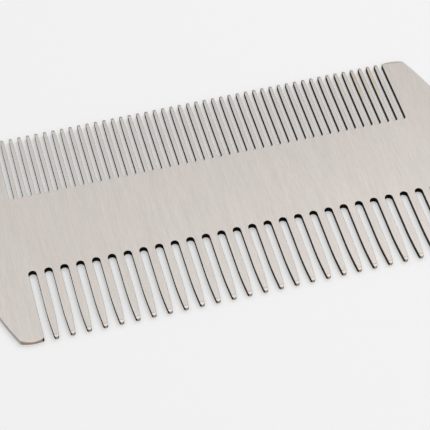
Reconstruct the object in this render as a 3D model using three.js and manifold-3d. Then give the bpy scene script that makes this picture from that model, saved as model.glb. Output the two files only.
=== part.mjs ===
// Double-sided flea comb cut from one flat sheet of stainless steel: a coarse row of teeth along
// the front, a fine row along the back, a solid band between them and a guard at both ends of the rows.
// Millimetres, +Z up. The comb lies flat, with the origin at the centre of its underside and +X along
// the rows. The coarse tips point to -Y and the fine tips to +Y.

import * as THREE from 'three';
import { mergeVertices } from 'three/addons/utils/BufferGeometryUtils.js';
import Module from 'manifold-3d';

const wasm = await Module();
wasm.setup();

// The sheet
const sheetThickness = 1.0;
const combLength = 87.1; // over the two bowed ends
const combWidth = 42.9; // from the coarse tips to the fine tips

// The solid ends outside the rows
const guardWidth = 3.8; // from the first gap to the guard's outer corner
const guardSetback = 0.3; // how far the guard's inner corner stays behind the tooth tips
const guardSlant = 0.33; // how much further back the guard's outer corner is
const guardCrown = 0.45; // how far its tip bulges past the line between its two corners
const endBow = 4.8; // how far the comb's end bows out past the guards' outer corners

// The rows. The row fills the length between the guards with as many teeth as fit at this width.
const coarseRow = { toothWidth: 1.32, gap: 1.32, toothLength: 13.7, taperLength: 6.4, tipWidth: 0.74 };
const fineRow = { toothWidth: 0.68, gap: 0.82, toothLength: 13.7, taperLength: 5.2, tipWidth: 0.52 };

// The flats ground on the tips, on both faces of the sheet. On the teeth the flat starts this far
// from the tip, and on a guard it starts at the line between the guard's two corners.
const grindLength = 0.45;
const grindSlope = 0.45; // depth gained per length

// Segments on a tapered tooth side; every round stretch has twice as many
const curveSegments = 4;

const tipY = combWidth / 2;
const cornerX = combLength / 2 - endBow;
const innerCornerY = tipY - guardSetback;
const outerCornerY = innerCornerY - guardSlant;
const rowLength = 2 * (cornerX - guardWidth);

// Radius of an arc from its chord and its height
function arcRadius(chord, height) {
  return (chord * chord / 4 + height * height) / (2 * height);
}

// A guard's rounded tip, from its left corner to its right one, centred on centreX. slant is how
// much further towards -Y the right corner lies than the left one.
function addGuardTip(path, centreX, slant) {
  const chord = Math.hypot(guardWidth, slant);
  const radius = arcRadius(chord, guardCrown);
  const halfAngle = Math.asin(chord / 2 / radius);
  const outward = -Math.PI / 2 - Math.atan(slant / guardWidth);
  const reach = radius - guardCrown;
  const centreY = -(innerCornerY + outerCornerY) / 2 - reach * Math.sin(outward);
  const shiftX = -reach * Math.cos(outward);
  path.absarc(centreX + shiftX, centreY, radius, outward - halfAngle, outward + halfAngle, false);
}

// The round root of a gap, from its left wall to its right one
function addGapRoot(path, row, centreX) {
  const radius = row.gap / 2;
  const centreY = row.toothLength - tipY - radius;
  path.lineTo(centreX - radius, centreY);
  path.absarc(centreX, centreY, radius, Math.PI, 0, true);
}

// A tooth: down its left side, round its tip and back up its right side
function addTooth(path, row, centreX, halfWidth) {
  const tipRadius = row.tipWidth / 2;
  const taperY = row.taperLength - tipY;
  const roundY = tipRadius - tipY;
  const controlY = (taperY + roundY) / 2;
  path.lineTo(centreX - halfWidth, taperY);
  path.quadraticCurveTo(centreX - halfWidth, controlY, centreX - tipRadius, roundY);
  path.absarc(centreX, roundY, tipRadius, Math.PI, 2 * Math.PI, false);
  path.quadraticCurveTo(centreX + halfWidth, controlY, centreX + halfWidth, taperY);
}

// Half the outline with the row's tips towards -Y: from the left guard's outer corner along the
// tips to the right guard's, and up the comb's right end
function halfOutline(row) {
  const path = new THREE.Path();
  const teeth = Math.round((rowLength - row.gap) / (row.toothWidth + row.gap));
  const pitch = (rowLength - row.gap) / teeth;
  const firstGapX = (row.gap - rowLength) / 2;
  path.moveTo(-cornerX, -outerCornerY);
  addGuardTip(path, -cornerX + guardWidth / 2, guardSlant);
  for (let i = 0; i < teeth; i += 1) {
    addGapRoot(path, row, firstGapX + i * pitch);
    addTooth(path, row, firstGapX + (i + 0.5) * pitch, (pitch - row.gap) / 2);
  }
  addGapRoot(path, row, firstGapX + teeth * pitch);
  path.lineTo(rowLength / 2, -innerCornerY);
  addGuardTip(path, cornerX - guardWidth / 2, -guardSlant);

  const endRadius = arcRadius(2 * outerCornerY, endBow);
  const endAngle = Math.asin(outerCornerY / endRadius);
  path.absarc(combLength / 2 - endRadius, 0, endRadius, -endAngle, endAngle, false);
  return path.getPoints(curveSegments);
}

// The whole outline: the coarse half in front and the fine half turned to the back
function combOutline() {
  const centre = new THREE.Vector2();
  const front = halfOutline(coarseRow);
  const back = halfOutline(fineRow).map((point) => point.rotateAround(centre, Math.PI));
  return new THREE.Shape([...front, ...back]);
}

// A solid of a shape in the XY plane, extruded along Z
function extrude(shape, depth) {
  return new THREE.ExtrudeGeometry(shape, { depth, bevelEnabled: false });
}

function toManifold(geometry) {
  const bare = geometry.clone();
  bare.deleteAttribute('normal');
  bare.deleteAttribute('uv');
  const welded = mergeVertices(bare, 1e-5);
  const vertProperties = new Float32Array(welded.attributes.position.array);
  const triVerts = new Uint32Array(welded.index.array);
  return new wasm.Manifold(new wasm.Mesh({ numProp: 3, vertProperties, triVerts }));
}

function toGeometry(solid) {
  const mesh = solid.getMesh();
  const geometry = new THREE.BufferGeometry();
  geometry.setAttribute('position', new THREE.BufferAttribute(new Float32Array(mesh.vertProperties), 3));
  geometry.setIndex(new THREE.BufferAttribute(new Uint32Array(mesh.triVerts), 1));
  geometry.computeVertexNormals();
  return geometry;
}

// A wedge that grinds the top face of tips that point to -Y, with its crease on the X axis
function grindWedge(length) {
  const overrun = sheetThickness;
  const section = new THREE.Shape([
    new THREE.Vector2(0, 0),
    new THREE.Vector2(0, overrun),
    new THREE.Vector2(-overrun, overrun),
    new THREE.Vector2(-overrun, -grindSlope * overrun),
  ]);
  const alongX = new THREE.Matrix4().makeBasis(
    new THREE.Vector3(0, 1, 0),
    new THREE.Vector3(0, 0, 1),
    new THREE.Vector3(1, 0, 0),
  );
  const wedge = extrude(section, length);
  wedge.translate(0, 0, -length / 2);
  wedge.applyMatrix4(alongX);
  return wedge;
}

// The three wedges for the top face of the front row: one for the teeth and one for each guard. They
// end in the middle of the gaps beside the guards.
function frontWedges() {
  const teeth = grindWedge(rowLength - fineRow.gap);
  teeth.translate(0, grindLength - tipY, sheetThickness / 2);
  const guards = [-1, 1].map((side) => {
    const guard = grindWedge(guardWidth + fineRow.gap);
    guard.rotateZ(side * Math.atan(guardSlant / guardWidth));
    const middleY = -(innerCornerY + outerCornerY) / 2;
    return guard.translate(side * (cornerX - guardWidth / 2), middleY, sheetThickness / 2);
  });
  return [teeth, ...guards];
}

function combPlate() {
  const sheet = extrude(combOutline(), sheetThickness);
  sheet.translate(0, 0, -sheetThickness / 2);
  let solid = toManifold(sheet);
  for (const turnToBack of [0, Math.PI]) {
    for (const turnToUnderside of [0, Math.PI]) {
      for (const wedge of frontWedges()) {
        wedge.rotateY(turnToUnderside);
        wedge.rotateZ(turnToBack);
        solid = solid.subtract(toManifold(wedge));
      }
    }
  }
  return toGeometry(solid);
}

const brushedSteel = new THREE.MeshStandardMaterial({ color: 0xcdc7c1, roughness: 0.38, metalness: 0.9 });

const fleaComb = new THREE.Group();
const plate = new THREE.Mesh(combPlate(), brushedSteel);
plate.name = 'comb_plate';
plate.position.z = sheetThickness / 2;
fleaComb.add(plate);

export default fleaComb;
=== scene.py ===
import math
from collections import namedtuple

import bmesh
import bpy
from mathutils import Matrix, Vector


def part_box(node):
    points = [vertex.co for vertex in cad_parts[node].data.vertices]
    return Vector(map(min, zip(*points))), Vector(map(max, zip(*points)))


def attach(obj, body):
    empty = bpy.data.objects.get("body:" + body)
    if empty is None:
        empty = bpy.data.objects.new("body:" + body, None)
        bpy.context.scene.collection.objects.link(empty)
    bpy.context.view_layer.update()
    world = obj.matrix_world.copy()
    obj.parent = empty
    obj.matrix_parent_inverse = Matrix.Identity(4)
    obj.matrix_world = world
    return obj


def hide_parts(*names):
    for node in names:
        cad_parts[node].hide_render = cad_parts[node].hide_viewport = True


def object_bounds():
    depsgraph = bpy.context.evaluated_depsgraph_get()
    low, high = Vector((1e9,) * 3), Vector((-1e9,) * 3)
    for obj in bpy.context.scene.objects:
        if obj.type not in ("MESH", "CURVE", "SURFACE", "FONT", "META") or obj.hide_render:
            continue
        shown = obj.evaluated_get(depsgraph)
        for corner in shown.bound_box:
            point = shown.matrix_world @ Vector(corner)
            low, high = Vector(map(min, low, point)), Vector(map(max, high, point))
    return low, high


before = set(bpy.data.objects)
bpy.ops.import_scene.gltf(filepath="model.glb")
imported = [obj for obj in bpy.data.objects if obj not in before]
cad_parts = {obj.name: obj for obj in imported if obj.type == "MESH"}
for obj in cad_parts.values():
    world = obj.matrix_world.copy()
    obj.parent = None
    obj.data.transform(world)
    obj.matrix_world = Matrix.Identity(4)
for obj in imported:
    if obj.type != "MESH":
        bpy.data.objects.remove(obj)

cad_low, cad_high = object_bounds()

# ---------------------------------------------------------------------------------------------
# Sizes, in millimetres. The sheet's own three come from the frame, the rest repeat the CAD model's.
MM = 0.001
node_low, node_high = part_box("comb_plate")
LENGTH, WIDTH, THICKNESS = (node_high - node_low) / MM

GUARD_WIDTH = 3.8
GUARD_SETBACK = 0.3
GUARD_SLANT = 0.33
GUARD_CROWN = 0.45
END_BOW = 4.8
GRIND_LENGTH = 0.45
GRIND_SLOPE = 0.45

Row = namedtuple("Row", "tooth_width gap tooth_length taper_length tip_width")
COARSE_ROW = Row(1.32, 1.32, 13.7, 6.4, 0.74)
FINE_ROW = Row(0.68, 0.82, 13.7, 5.2, 0.52)

EDGE_RADIUS = 0.035
EDGE_STEPS = 3
EDGE_ANGLE = math.radians(18)  # every edge that turns by more is rounded, as the flats' creases are
ROOT_STEPS = 20
TIP_STEPS = 16
TAPER_STEPS = 12
GUARD_STEPS = 24
END_STEPS = 64

TIP_Y = WIDTH / 2
CORNER_X = LENGTH / 2 - END_BOW
INNER_CORNER_Y = TIP_Y - GUARD_SETBACK
OUTER_CORNER_Y = INNER_CORNER_Y - GUARD_SLANT
ROW_LENGTH = 2 * (CORNER_X - GUARD_WIDTH)
CREASE_Y = TIP_Y - GRIND_LENGTH
SLIVER = 1e-6

# Walls steeper than this across the rows count as sides of teeth, and not as fronts of their tips
TIP_WALL_SLOPE = 0.8
CORNER_PAINTED_SHADE = 0.25  # how far the painted shade of a gap reaches round a guard's inner corner

# The comb's material slots, in the order that the mesh uses them
SLOT_COUNT = 8
(
    BRUSHED,
    GROUND_TIP,
    GAP_WALL,
    GAP_ROOT,
    TIP_WALL,
    OUTER_WALL,
    ROUNDED_EDGE,
    GAP_EDGE,
) = range(SLOT_COUNT)


# ---------------------------------------------------------------------------------------------
# The outline, as points in millimetres, anticlockwise seen from above

def arc_radius(chord, height):
    return (chord * chord / 4 + height * height) / (2 * height)


def arc(centre_x, centre_y, radius, start, end, steps):
    angles = [start + (end - start) * i / steps for i in range(steps + 1)]
    return [(centre_x + radius * math.cos(a), centre_y + radius * math.sin(a)) for a in angles]


def taper(start, control, end, steps):
    """A quadratic curve from start to end, without its two end points."""
    points = []
    for i in range(1, steps):
        t = i / steps
        weights = ((1 - t) ** 2, 2 * t * (1 - t), t * t)
        points.append(tuple(
            sum(w * p[axis] for w, p in zip(weights, (start, control, end))) for axis in (0, 1)
        ))
    return points


def guard_tip(centre_x, slant):
    """A guard's tip; slant is how much further towards -Y its right corner is than its left one."""
    chord = math.hypot(GUARD_WIDTH, slant)
    radius = arc_radius(chord, GUARD_CROWN)
    half_angle = math.asin(chord / 2 / radius)
    outward = -math.pi / 2 - math.atan(slant / GUARD_WIDTH)
    reach = radius - GUARD_CROWN
    centre_y = -(INNER_CORNER_Y + OUTER_CORNER_Y) / 2 - reach * math.sin(outward)
    shift_x = -reach * math.cos(outward)
    start, end = outward - half_angle, outward + half_angle
    return arc(centre_x + shift_x, centre_y, radius, start, end, GUARD_STEPS)


def gap_root(row, centre_x):
    radius = row.gap / 2
    return arc(centre_x, row.tooth_length - TIP_Y - radius, radius, math.pi, 0, ROOT_STEPS)


def tooth(row, centre_x, half_width):
    """A tooth pointing to -Y: down its left side, round its tip and up its right side."""
    tip_radius = row.tip_width / 2
    taper_y = row.taper_length - TIP_Y
    round_y = tip_radius - TIP_Y
    control_y = (taper_y + round_y) / 2
    sides = []
    for side in (-1, 1):
        shoulder = (centre_x + side * half_width, taper_y)
        control = (centre_x + side * half_width, control_y)
        tip = (centre_x + side * tip_radius, round_y)
        sides.append([shoulder, *taper(shoulder, control, tip, TAPER_STEPS)])
    left, right = sides
    round_tip = arc(centre_x, round_y, tip_radius, math.pi, 2 * math.pi, TIP_STEPS)
    return left + round_tip + right[::-1]


def half_outline(row):
    """From the left guard's outer corner along the tips, which point to -Y, and up the end."""
    teeth = round((ROW_LENGTH - row.gap) / (row.tooth_width + row.gap))
    pitch = (ROW_LENGTH - row.gap) / teeth
    first_gap_x = (row.gap - ROW_LENGTH) / 2
    points = guard_tip(-CORNER_X + GUARD_WIDTH / 2, GUARD_SLANT)
    for i in range(teeth):
        points += gap_root(row, first_gap_x + i * pitch)
        points += tooth(row, first_gap_x + (i + 0.5) * pitch, (pitch - row.gap) / 2)
    points += gap_root(row, first_gap_x + teeth * pitch)
    points += guard_tip(CORNER_X - GUARD_WIDTH / 2, -GUARD_SLANT)

    end_radius = arc_radius(2 * OUTER_CORNER_Y, END_BOW)
    end_angle = math.asin(OUTER_CORNER_Y / end_radius)
    end = arc(LENGTH / 2 - end_radius, 0, end_radius, -end_angle, end_angle, END_STEPS)
    return points + end[1:-1]


def beyond_crease(x, y):
    """How far a point is past the line where the grinding starts.

    On the teeth the line is a little behind the tips, and on a guard it joins the two corners.
    """
    if abs(x) < (ROW_LENGTH - FINE_ROW.gap) / 2:
        return abs(y) - CREASE_Y
    slant_angle = math.atan(GUARD_SLANT / GUARD_WIDTH)
    from_outer_corner = CORNER_X - abs(x)
    past_outer_corner = abs(y) - OUTER_CORNER_Y
    return past_outer_corner * math.cos(slant_angle) - from_outer_corner * math.sin(slant_angle)


def split_at_crease(points):
    """The same outline with a point added wherever it crosses the line that a flat starts at."""
    result = []
    for start, end in zip(points, points[1:] + points[:1]):
        result.append(start)
        before, after = beyond_crease(*start), beyond_crease(*end)
        if min(before, after) < -SLIVER and max(before, after) > SLIVER:
            share = before / (before - after)
            result.append(tuple(a + share * (b - a) for a, b in zip(start, end)))
    return result


def comb_outline():
    front = half_outline(COARSE_ROW)
    back = [(-x, -y) for x, y in half_outline(FINE_ROW)]
    return split_at_crease(front + back)


# ---------------------------------------------------------------------------------------------
# The comb's mesh

def is_ground(point):
    return beyond_crease(*point) > SLIVER


def lines_a_gap(x, y, faces_along_row):
    """Whether this point of a wall, or of its rounded edge, is on a gap and not on the outside."""
    return abs(x) < ROW_LENGTH / 2 + 2 * EDGE_RADIUS and (abs(y) < CREASE_Y or faces_along_row)


def wall_slot(start, end):
    """A tooth's sides take the gaps' dark painted shade from root to tip, and only the fronts of the
    tips are ground.
    """
    x, y = [(a + b) / 2 for a, b in zip(start, end)]
    faces_along_row = abs(end[1] - start[1]) > TIP_WALL_SLOPE * abs(end[0] - start[0])
    if not lines_a_gap(x, y, faces_along_row):
        if abs(y) < OUTER_CORNER_Y:
            return OUTER_WALL
        # The gaps' painted shade reaches a little way round a guard's inner corner.
        at_inner_corner = ROW_LENGTH / 2 < abs(x) < ROW_LENGTH / 2 + CORNER_PAINTED_SHADE
        return GAP_WALL if at_inner_corner else TIP_WALL
    row = COARSE_ROW if y < 0 else FINE_ROW
    return GAP_ROOT if abs(y) < TIP_Y - row.tooth_length + row.gap / 2 else GAP_WALL


def ground_runs(outline):
    """Lists of the outline's indices on one ground tip, each with the crease points beside it."""
    count = len(outline)
    runs = []
    for i in range(count):
        if is_ground(outline[i]) and not is_ground(outline[i - 1]):
            run = [i - 1]
            while is_ground(outline[i % count]):
                run.append(i % count)
                i += 1
            runs.append(run + [i % count])
    return runs


def comb_mesh():
    """The comb in millimetres, with sharp edges."""
    outline = comb_outline()
    count = len(outline)
    mesh = bmesh.new()
    drop = [max(0.0, beyond_crease(*point)) * GRIND_SLOPE for point in outline]
    top = [mesh.verts.new((x, y, THICKNESS - d)) for (x, y), d in zip(outline, drop)]
    bottom = [mesh.verts.new((x, y, d)) for (x, y), d in zip(outline, drop)]
    flat = [i for i in range(count) if not is_ground(outline[i])]

    def add_face(vertices, slot):
        face = mesh.faces.new(vertices)
        face.material_index = slot
        face.smooth = True

    add_face([top[i] for i in flat], BRUSHED)
    add_face([bottom[i] for i in reversed(flat)], BRUSHED)
    for run in ground_runs(outline):
        add_face([top[i] for i in run], GROUND_TIP)
        add_face([bottom[i] for i in reversed(run)], GROUND_TIP)
    for i in range(count):
        j = (i + 1) % count
        add_face([bottom[i], bottom[j], top[j], top[i]], wall_slot(outline[i], outline[j]))
    return mesh


def add_sheet_uv(mesh):
    """A flat map, with U along the rows, which gives the brushed faces the direction of their grain."""
    uv = mesh.uv_layers.new(name="sheet")
    for loop in mesh.loops:
        position = mesh.vertices[loop.vertex_index].co
        uv.data[loop.index].uv = (position.x / LENGTH + 0.5, position.y / LENGTH + 0.5)


def comb_object():
    """The comb with its edges rounded, in metres."""
    sharp = bpy.data.meshes.new("sharp_comb")
    source = comb_mesh()
    source.to_mesh(sharp)
    source.free()
    blank = bpy.data.objects.new("sharp_comb", sharp)
    bpy.context.scene.collection.objects.link(blank)
    bevel = blank.modifiers.new("rounded_edges", "BEVEL")
    bevel.width = EDGE_RADIUS
    bevel.segments = EDGE_STEPS
    bevel.limit_method = "ANGLE"
    bevel.angle_limit = EDGE_ANGLE
    bevel.use_clamp_overlap = False
    bevel.harden_normals = True
    bevel.material = ROUNDED_EDGE
    for _ in range(SLOT_COUNT):
        sharp.materials.append(None)
    view_layer = bpy.context.view_layer
    view_layer.update()
    evaluated = blank.evaluated_get(bpy.context.evaluated_depsgraph_get())
    mesh = bpy.data.meshes.new_from_object(evaluated)
    bpy.data.objects.remove(blank)
    bpy.data.meshes.remove(sharp)
    for face in mesh.polygons:
        faces_along_row = abs(face.normal.x) > TIP_WALL_SLOPE * abs(face.normal.y)
        if face.material_index == ROUNDED_EDGE and lines_a_gap(*face.center.xy, faces_along_row):
            face.material_index = GAP_EDGE
    add_sheet_uv(mesh)
    mesh.transform(Matrix.Scale(MM, 4))
    mesh.name = "steel_comb"
    comb = bpy.data.objects.new("steel_comb", mesh)
    bpy.context.scene.collection.objects.link(comb)
    return comb


# ---------------------------------------------------------------------------------------------
# Materials

class Nodes:
    """A short way to add and link shader nodes."""

    def __init__(self, name):
        self.material = bpy.data.materials.new(name)
        self.material.use_nodes = True
        self.tree = self.material.node_tree
        self.shader = self.tree.nodes["Principled BSDF"]

    def add(self, kind, **values):
        node = self.tree.nodes.new(kind)
        for name, value in values.items():
            setattr(node, name, value)
        return node

    def link(self, output, target):
        self.tree.links.new(output, target)

    def noise(self, scale, detail=2.0, roughness=0.5):
        """Noise over the object's own coordinates; scale is cycles per metre along X, Y and Z."""
        place = self.add("ShaderNodeTexCoord")
        mapping = self.add("ShaderNodeMapping")
        mapping.inputs["Scale"].default_value = scale
        texture = self.add("ShaderNodeTexNoise")
        texture.inputs["Scale"].default_value = 1.0
        texture.inputs["Detail"].default_value = detail
        texture.inputs["Roughness"].default_value = roughness
        self.link(place.outputs["Object"], mapping.inputs["Vector"])
        self.link(mapping.outputs["Vector"], texture.inputs["Vector"])
        return texture.outputs["Fac"]

    def along(self, axis):
        """One of the object's own coordinates, in metres."""
        place = self.add("ShaderNodeTexCoord")
        split = self.add("ShaderNodeSeparateXYZ")
        self.link(place.outputs["Object"], split.inputs["Vector"])
        return split.outputs[axis]

    def product(self, first, second):
        node = self.add("ShaderNodeMath", operation="MULTIPLY")
        self.link(first, node.inputs[0])
        self.link(second, node.inputs[1])
        return node.outputs["Value"]

    def span(self, value, low, high, start=0.3, end=0.7):
        """value from start to end, as low to high."""
        node = self.add("ShaderNodeMapRange")
        node.inputs["From Min"].default_value = start
        node.inputs["From Max"].default_value = end
        node.inputs["To Min"].default_value = low
        node.inputs["To Max"].default_value = high
        self.link(value, node.inputs["Value"])
        return node.outputs["Result"]

    def blend(self, value, low, high, start=0.3, end=0.7):
        """A colour from low to high as value goes from start to end."""
        node = self.add("ShaderNodeValToRGB")
        first, last = node.color_ramp.elements
        first.position = start
        first.color = (*low, 1.0)
        last.position = end
        last.color = (*high, 1.0)
        self.link(value, node.inputs["Fac"])
        return node.outputs["Color"]

    def multiply(self, first, second):
        node = self.add("ShaderNodeMix", data_type="RGBA", blend_type="MULTIPLY")
        node.inputs["Factor"].default_value = 1.0
        self.link(first, node.inputs["A"])
        self.link(second, node.inputs["B"])
        return node.outputs["Result"]

    def bump(self, height, distance, strength=1.0):
        node = self.add("ShaderNodeBump")
        node.inputs["Strength"].default_value = strength
        node.inputs["Distance"].default_value = distance
        self.link(height, node.inputs["Height"])
        self.link(node.outputs["Normal"], self.shader.inputs["Normal"])

    def set(self, **values):
        for name, value in values.items():
            self.shader.inputs[name.replace("_", " ")].default_value = value


WHITE = (1.0, 1.0, 1.0)


def per_mm(x, y, z):
    """Cycles per metre for marks of these sizes in millimetres."""
    return (1 / (x * MM), 1 / (y * MM), 1 / (z * MM))


def brushed_steel():
    """The faces: belt grain along the teeth, faint clouds, and a gold heat tint on a few teeth."""
    m = Nodes("brushed_steel")
    grain = m.noise(per_mm(0.21, 1.9, 1.9), detail=3.0, roughness=0.6)
    streaks = m.noise(per_mm(0.9, 14.0, 14.0), detail=2.0)
    clouds = m.noise(per_mm(7.0, 11.0, 11.0), detail=2.0)
    tone = m.blend(grain, (0.715, 0.715, 0.715), (0.835, 0.835, 0.835))
    tint = m.blend(clouds, (0.985, 0.93, 0.875), (1.0, 0.918, 0.862))
    shade = m.blend(streaks, (0.94, 0.94, 0.94), WHITE)
    steel = m.multiply(m.multiply(tone, tint), shade)
    near_tips = m.span(m.along("Y"), 0.0, 1.0, start=12.0 * MM, end=16.0 * MM)
    from_middle = m.span(m.along("X"), 0.0, 1.0, start=25.0 * MM, end=29.0 * MM)
    beside_guard = m.span(m.along("X"), 1.0, 0.0, start=34.0 * MM, end=34.6 * MM)
    patches = m.span(m.noise(per_mm(1.8, 9.0, 9.0)), 0.0, 1.0, start=0.44, end=0.60)
    heat = m.product(m.product(near_tips, patches), m.product(from_middle, beside_guard))
    heated = m.blend(heat, WHITE, (1.0, 0.90, 0.76), start=0.0, end=1.0)
    m.link(m.multiply(steel, heated), m.shader.inputs["Base Color"])
    m.link(m.span(grain, 0.34, 0.44), m.shader.inputs["Roughness"])
    m.bump(grain, 0.0004 * MM)
    m.set(Metallic=1.0, Anisotropic=0.6)
    tangent = m.add("ShaderNodeTangent", direction_type="UV_MAP", uv_map="sheet")
    m.link(tangent.outputs["Tangent"], m.shader.inputs["Tangent"])
    return m.material


def ground_tip():
    """The ground flats on the tips: finer and brighter than the faces."""
    m = Nodes("ground_tip")
    marks = m.noise(per_mm(1.2, 0.05, 0.05), detail=2.0)
    tone = m.blend(marks, (0.73, 0.645, 0.59), (0.83, 0.735, 0.675))
    m.link(tone, m.shader.inputs["Base Color"])
    m.link(m.span(marks, 0.30, 0.42), m.shader.inputs["Roughness"])
    m.bump(marks, 0.0004 * MM)
    m.set(Metallic=1.0)
    return m.material


def gap_wall():
    """The walls of the gaps: brown-black painted shade for the insides of the gaps, darker towards the
    left, with upright cutting lines.
    """
    m = Nodes("gap_wall")
    lines = m.noise(per_mm(0.08, 0.08, 4.0), detail=2.0)
    # The brown-black tone is painted shade for the insides of the gaps; the lines are the cutting
    # marks.
    tone = m.blend(lines, (0.038, 0.027, 0.019), (0.074, 0.054, 0.040))
    # Darker towards the left: the tone is multiplied by 0.15 at x = -25 mm, rising to full at x = 35
    # mm.
    towards_right = m.span(m.along("X"), 0.0, 1.0, start=-25.0 * MM, end=35.0 * MM)
    darkening = m.blend(towards_right, (0.15, 0.14, 0.13), WHITE, start=0.0, end=1.0)
    m.link(m.multiply(tone, darkening), m.shader.inputs["Base Color"])
    m.link(m.span(lines, 0.55, 0.75), m.shader.inputs["Roughness"])
    m.bump(lines, 0.002 * MM)
    m.set(Metallic=0.0, Specular_IOR_Level=0.05)
    return m.material


def root_painted_shade():
    """The round ends of the gaps, near-black: painted shade where the gaps are deepest."""
    m = Nodes("root_painted_shade")
    darkening = m.noise(per_mm(0.1, 0.1, 2.0), detail=2.0)
    # A near-black tone, painted shade for the deep round ends of the gaps.
    tone = m.blend(darkening, (0.002, 0.0016, 0.0013), (0.007, 0.0055, 0.0045))
    m.link(tone, m.shader.inputs["Base Color"])
    m.link(m.span(darkening, 0.6, 0.8), m.shader.inputs["Roughness"])
    m.bump(darkening, 0.002 * MM)
    m.set(Metallic=0.0, Specular_IOR_Level=0.05)
    return m.material


def tip_wall():
    """The fronts of the tips: ground, and browned by the heat."""
    m = Nodes("tip_wall")
    lines = m.noise(per_mm(0.8, 0.8, 0.06), detail=2.0)
    tone = m.blend(lines, (0.31, 0.24, 0.19), (0.43, 0.345, 0.28))
    m.link(tone, m.shader.inputs["Base Color"])
    m.link(m.span(lines, 0.38, 0.5), m.shader.inputs["Roughness"])
    m.bump(lines, 0.001 * MM)
    m.set(Metallic=1.0)
    return m.material


def outer_wall():
    """The comb's outer edge: ground along its length."""
    m = Nodes("outer_wall")
    lines = m.noise(per_mm(1.6, 1.6, 0.07), detail=2.0)
    tone = m.blend(lines, (0.40, 0.37, 0.34), (0.52, 0.48, 0.45))
    m.link(tone, m.shader.inputs["Base Color"])
    m.link(m.span(lines, 0.38, 0.5), m.shader.inputs["Roughness"])
    m.bump(lines, 0.001 * MM)
    m.set(Metallic=1.0)
    return m.material


def rounded_edge():
    """The small rounding between the faces and the walls, rubbed brighter in places."""
    m = Nodes("rounded_edge")
    rub = m.noise(per_mm(1.5, 1.5, 1.5), detail=3.0)
    tone = m.blend(rub, (0.50, 0.47, 0.44), (0.68, 0.64, 0.60))
    m.link(tone, m.shader.inputs["Base Color"])
    m.link(m.span(rub, 0.28, 0.42), m.shader.inputs["Roughness"])
    m.set(Metallic=1.0)
    return m.material


def gap_edge():
    """The rounding along the gaps, darker than the other rounding."""
    m = Nodes("gap_edge")
    # A noise pattern that varies the dark tone of this rounding.
    mottle = m.noise(per_mm(0.6, 0.6, 0.6), detail=3.0)
    tone = m.blend(mottle, (0.15, 0.133, 0.118), (0.27, 0.242, 0.217))
    m.link(tone, m.shader.inputs["Base Color"])
    m.link(m.span(mottle, 0.5, 0.65), m.shader.inputs["Roughness"])
    m.set(Metallic=1.0)
    return m.material


def floor_white():
    """The floor: matt white, with a little light of its own so that the gaps read as light."""
    m = Nodes("floor_white")
    m.set(Base_Color=(0.816, 0.816, 0.816, 1.0), Roughness=0.7)
    m.set(Emission_Color=(*WHITE, 1.0), Emission_Strength=0.336)
    m.set(Specular_IOR_Level=0.2)
    return m.material


# ---------------------------------------------------------------------------------------------
# The comb

comb = comb_object()
comb_materials = {
    BRUSHED: brushed_steel(),
    GROUND_TIP: ground_tip(),
    GAP_WALL: gap_wall(),
    GAP_ROOT: root_painted_shade(),
    TIP_WALL: tip_wall(),
    OUTER_WALL: outer_wall(),
    ROUNDED_EDGE: rounded_edge(),
    GAP_EDGE: gap_edge(),
}
for index, material in comb_materials.items():
    comb.data.materials[index] = material
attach(comb, "root")
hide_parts("comb_plate")


# ---------------------------------------------------------------------------------------------
# Floor, lights and world

LIGHT_DISTANCE = 0.9
FLOOR_SIZE = 4.0


def add_floor():
    mesh = bpy.data.meshes.new("floor")
    half = FLOOR_SIZE / 2
    z = cad_low.z
    corners = [(-half, -half, z), (half, -half, z), (half, half, z), (-half, half, z)]
    mesh.from_pydata(corners, [], [(0, 1, 2, 3)])
    mesh.materials.append(floor_white())
    floor = bpy.data.objects.new("floor", mesh)
    bpy.context.scene.collection.objects.link(floor)


def add_softbox(name, azimuth, elevation, width, height, radiance):
    """A rectangular light that faces the comb from this direction. Azimuth 0 is in front, at -Y."""
    a, e = math.radians(azimuth), math.radians(elevation)
    direction = Vector((math.sin(a) * math.cos(e), -math.cos(a) * math.cos(e), math.sin(e)))
    data = bpy.data.lights.new(name, "AREA")
    data.shape = "RECTANGLE"
    data.size = width
    data.size_y = height
    data.energy = radiance * math.pi * width * height
    light = bpy.data.objects.new(name, data)
    light.location = direction * LIGHT_DISTANCE
    light.rotation_mode = "QUATERNION"
    light.rotation_quaternion = direction.to_track_quat("Z", "Y")
    bpy.context.scene.collection.objects.link(light)


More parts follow.
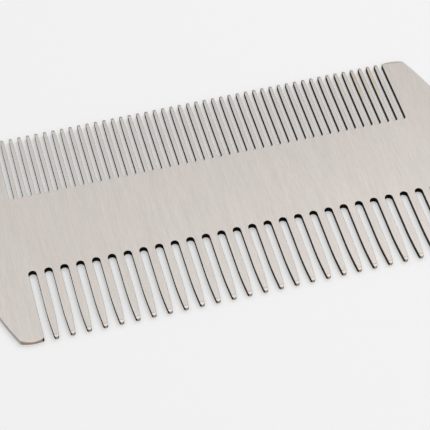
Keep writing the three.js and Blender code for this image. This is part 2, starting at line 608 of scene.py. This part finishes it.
def set_world(strength):
    world = bpy.data.worlds.new("studio")
    bpy.context.scene.world = world
    world.use_nodes = True
    background = world.node_tree.nodes["Background"]
    background.inputs["Color"].default_value = (*WHITE, 1.0)
    background.inputs["Strength"].default_value = strength


add_floor()
set_world(0.232)
add_softbox("softbox_key", azimuth=165, elevation=64, width=1.3, height=0.9, radiance=0.68)
add_softbox("softbox_above", azimuth=35, elevation=78, width=0.5, height=0.5, radiance=1.08)
add_softbox("softbox_front", azimuth=20, elevation=35, width=0.8, height=0.5, radiance=1.0)
add_softbox("softbox_right", azimuth=120, elevation=60, width=0.5, height=0.5, radiance=1.1)


# ---------------------------------------------------------------------------------------------
# Camera

# Angles in degrees, seen from the aim point, which is on the comb's top face. Azimuth 0 is in
# front, at -Y.
CAMERA_AZIMUTH = -14.59
CAMERA_ELEVATION = 51.04
CAMERA_ROLL = -0.58
CAMERA_DISTANCE = 0.292
CAMERA_LENS = 147.3
CAMERA_SENSOR = 36.0
CAMERA_CLIP = (0.01, 20.0)
AIM_FROM_CENTRE = Vector((-2.63, -4.335, 0.0)) * MM


def add_camera():
    azimuth = math.radians(CAMERA_AZIMUTH)
    elevation = math.radians(CAMERA_ELEVATION)
    roll = math.radians(CAMERA_ROLL)
    back = Vector((
        math.sin(azimuth) * math.cos(elevation),
        -math.cos(azimuth) * math.cos(elevation),
        math.sin(elevation),
    ))
    level_right = Vector((math.cos(azimuth), math.sin(azimuth), 0.0))
    level_up = back.cross(level_right)
    right = math.cos(roll) * level_right + math.sin(roll) * level_up
    up = back.cross(right)
    top_centre = (cad_low + cad_high) / 2
    top_centre.z = cad_high.z
    place = top_centre + AIM_FROM_CENTRE + back * CAMERA_DISTANCE
    data = bpy.data.cameras.new("camera")
    data.lens = CAMERA_LENS
    data.sensor_width = CAMERA_SENSOR
    data.clip_start, data.clip_end = CAMERA_CLIP
    camera = bpy.data.objects.new("camera", data)
    bpy.context.scene.collection.objects.link(camera)
    turn = Matrix((right, up, back)).transposed()
    camera.matrix_world = Matrix.Translation(place) @ turn.to_4x4()
    bpy.context.scene.camera = camera


add_camera()
bpy.context.scene.view_settings.view_transform = "Standard"
